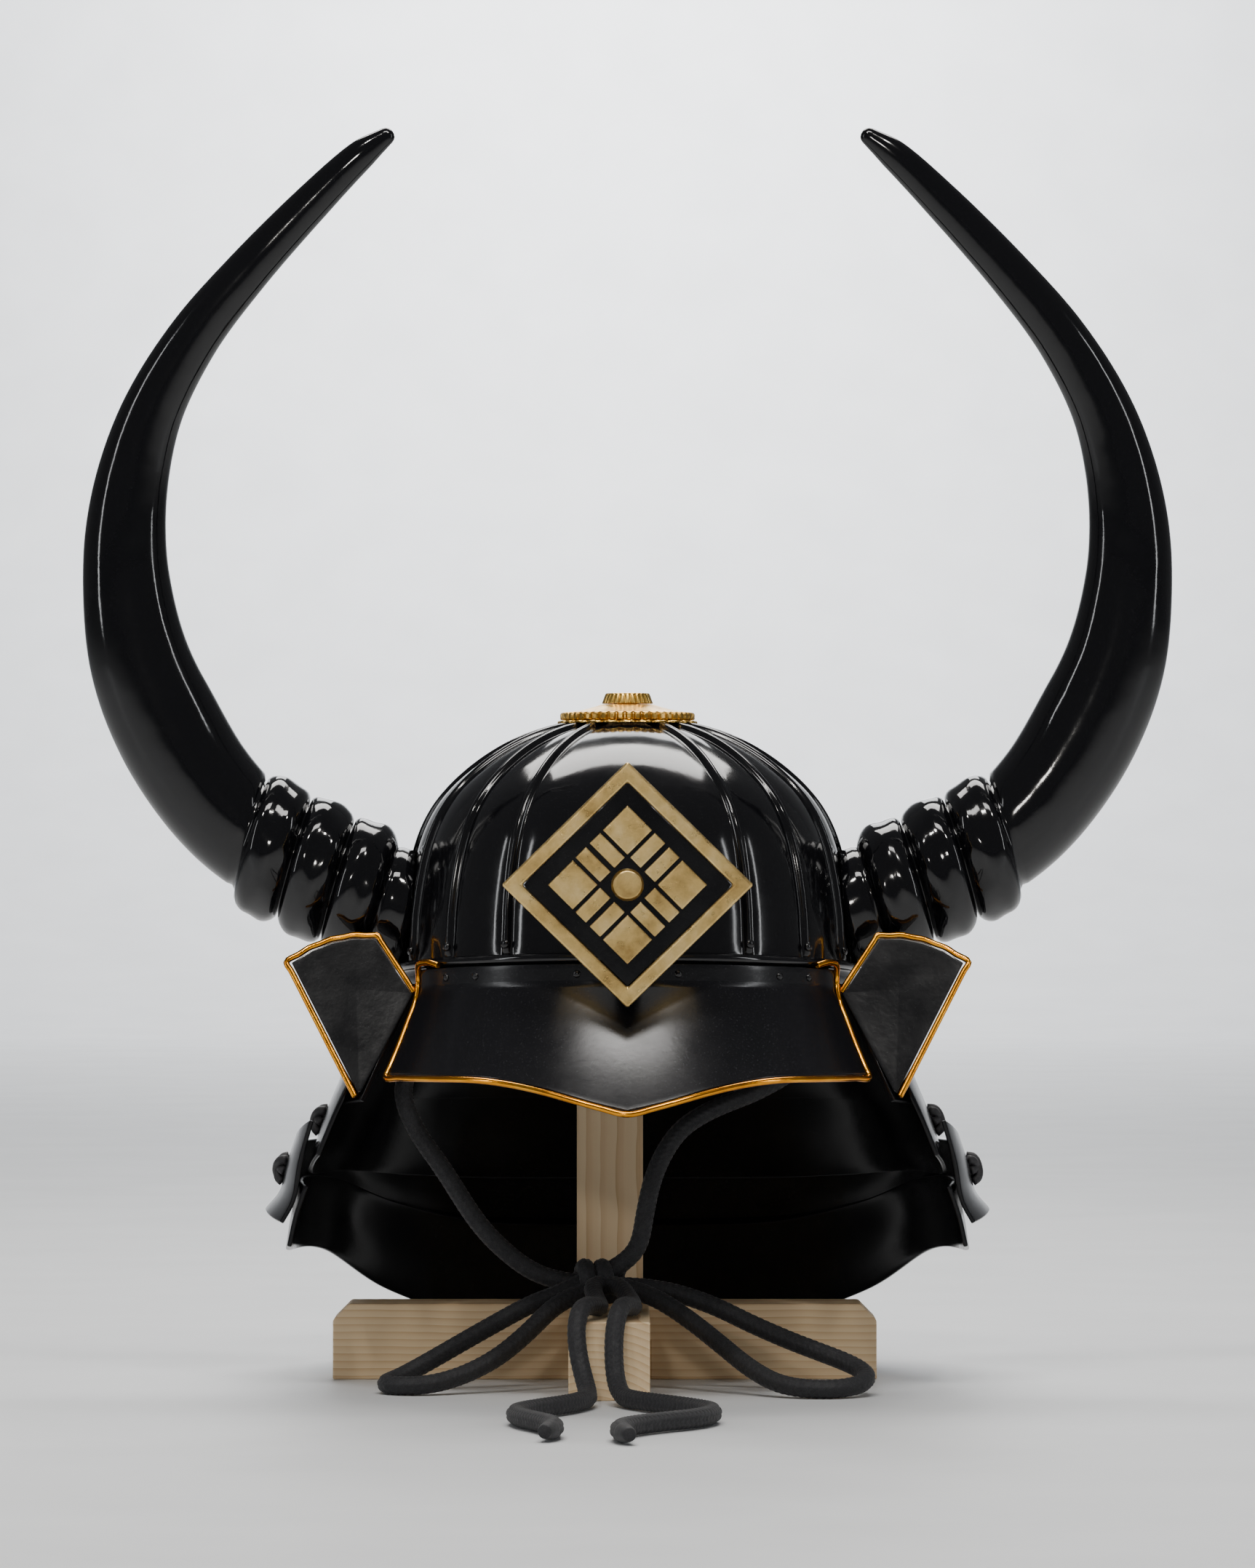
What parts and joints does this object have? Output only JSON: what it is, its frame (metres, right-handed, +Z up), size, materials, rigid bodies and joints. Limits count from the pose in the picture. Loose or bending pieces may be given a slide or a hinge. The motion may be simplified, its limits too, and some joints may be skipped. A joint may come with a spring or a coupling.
{
  "type": "kabuto samurai helmet on a wooden display stand",
  "caption": "Ribbed black lacquered helmet with curved horns, gold-edged visor, lozenge crest, flared neck guard and tied chin cord, resting on a plain wooden T-shaped stand.",
  "frame": {"origin": "on the surface that the stand rests on, below the middle of the helmet and stand without the loose cord", "axes": "+Z up, -Y the way the helmet faces, +X to the right as seen from the front"},
  "size_m": [0.5246, 0.55, 0.602],
  "materials": {
    "lacquer": "high-gloss black lacquer",
    "satin_lacquer": "satin black lacquer",
    "gold": "polished gilt",
    "brass": "brushed antique brass",
    "wood": "plain planed softwood",
    "cord": "braided cord"
  },
  "bodies": {
    "root": {"bowl_front": "lacquer", "bowl_right": "lacquer", "bowl_back": "lacquer", "bowl_left": "lacquer", "waist_band": "lacquer", "visor": "lacquer", "neck_plate_2": "lacquer", "neck_plate_3": "lacquer", "neck_plate_4": "lacquer", "horn_left": "lacquer", "horn_right": "lacquer", "crest_ground": "lacquer", "crest_bracket": "lacquer", "neck_plate_1": "satin_lacquer", "cord_anchor_left": "satin_lacquer", "cord_anchor_right": "satin_lacquer", "visor_rim": "gold", "turnback_rim_left": "gold", "turnback_rim_right": "gold", "crown_base_plate": "gold", "crown_toothed_ring": "gold", "crown_cap": "gold", "crest_frame": "brass", "crest_boss": "brass", "crest_tile_top": "brass", "crest_tile_bottom": "brass", "crest_tile_left": "brass", "crest_tile_right": "brass", "crest_tile_upper_right_a": "brass", "crest_tile_upper_right_b": "brass", "crest_tile_upper_left_a": "brass", "crest_tile_upper_left_b": "brass", "crest_tile_lower_left_a": "brass", "crest_tile_lower_left_b": "brass", "crest_tile_lower_right_a": "brass", "crest_tile_lower_right_b": "brass", "stand_front_bar": "wood", "stand_cross_bar": "wood", "stand_post": "wood", "stand_head": "wood", "chin_strap_left": "cord", "chin_strap_right": "cord", "chin_knot": "cord", "bow_loop_left": "cord", "bow_loop_right": "cord", "cord_tail_left": "cord", "cord_tail_right": "cord"}
  },
  "joints": []
}
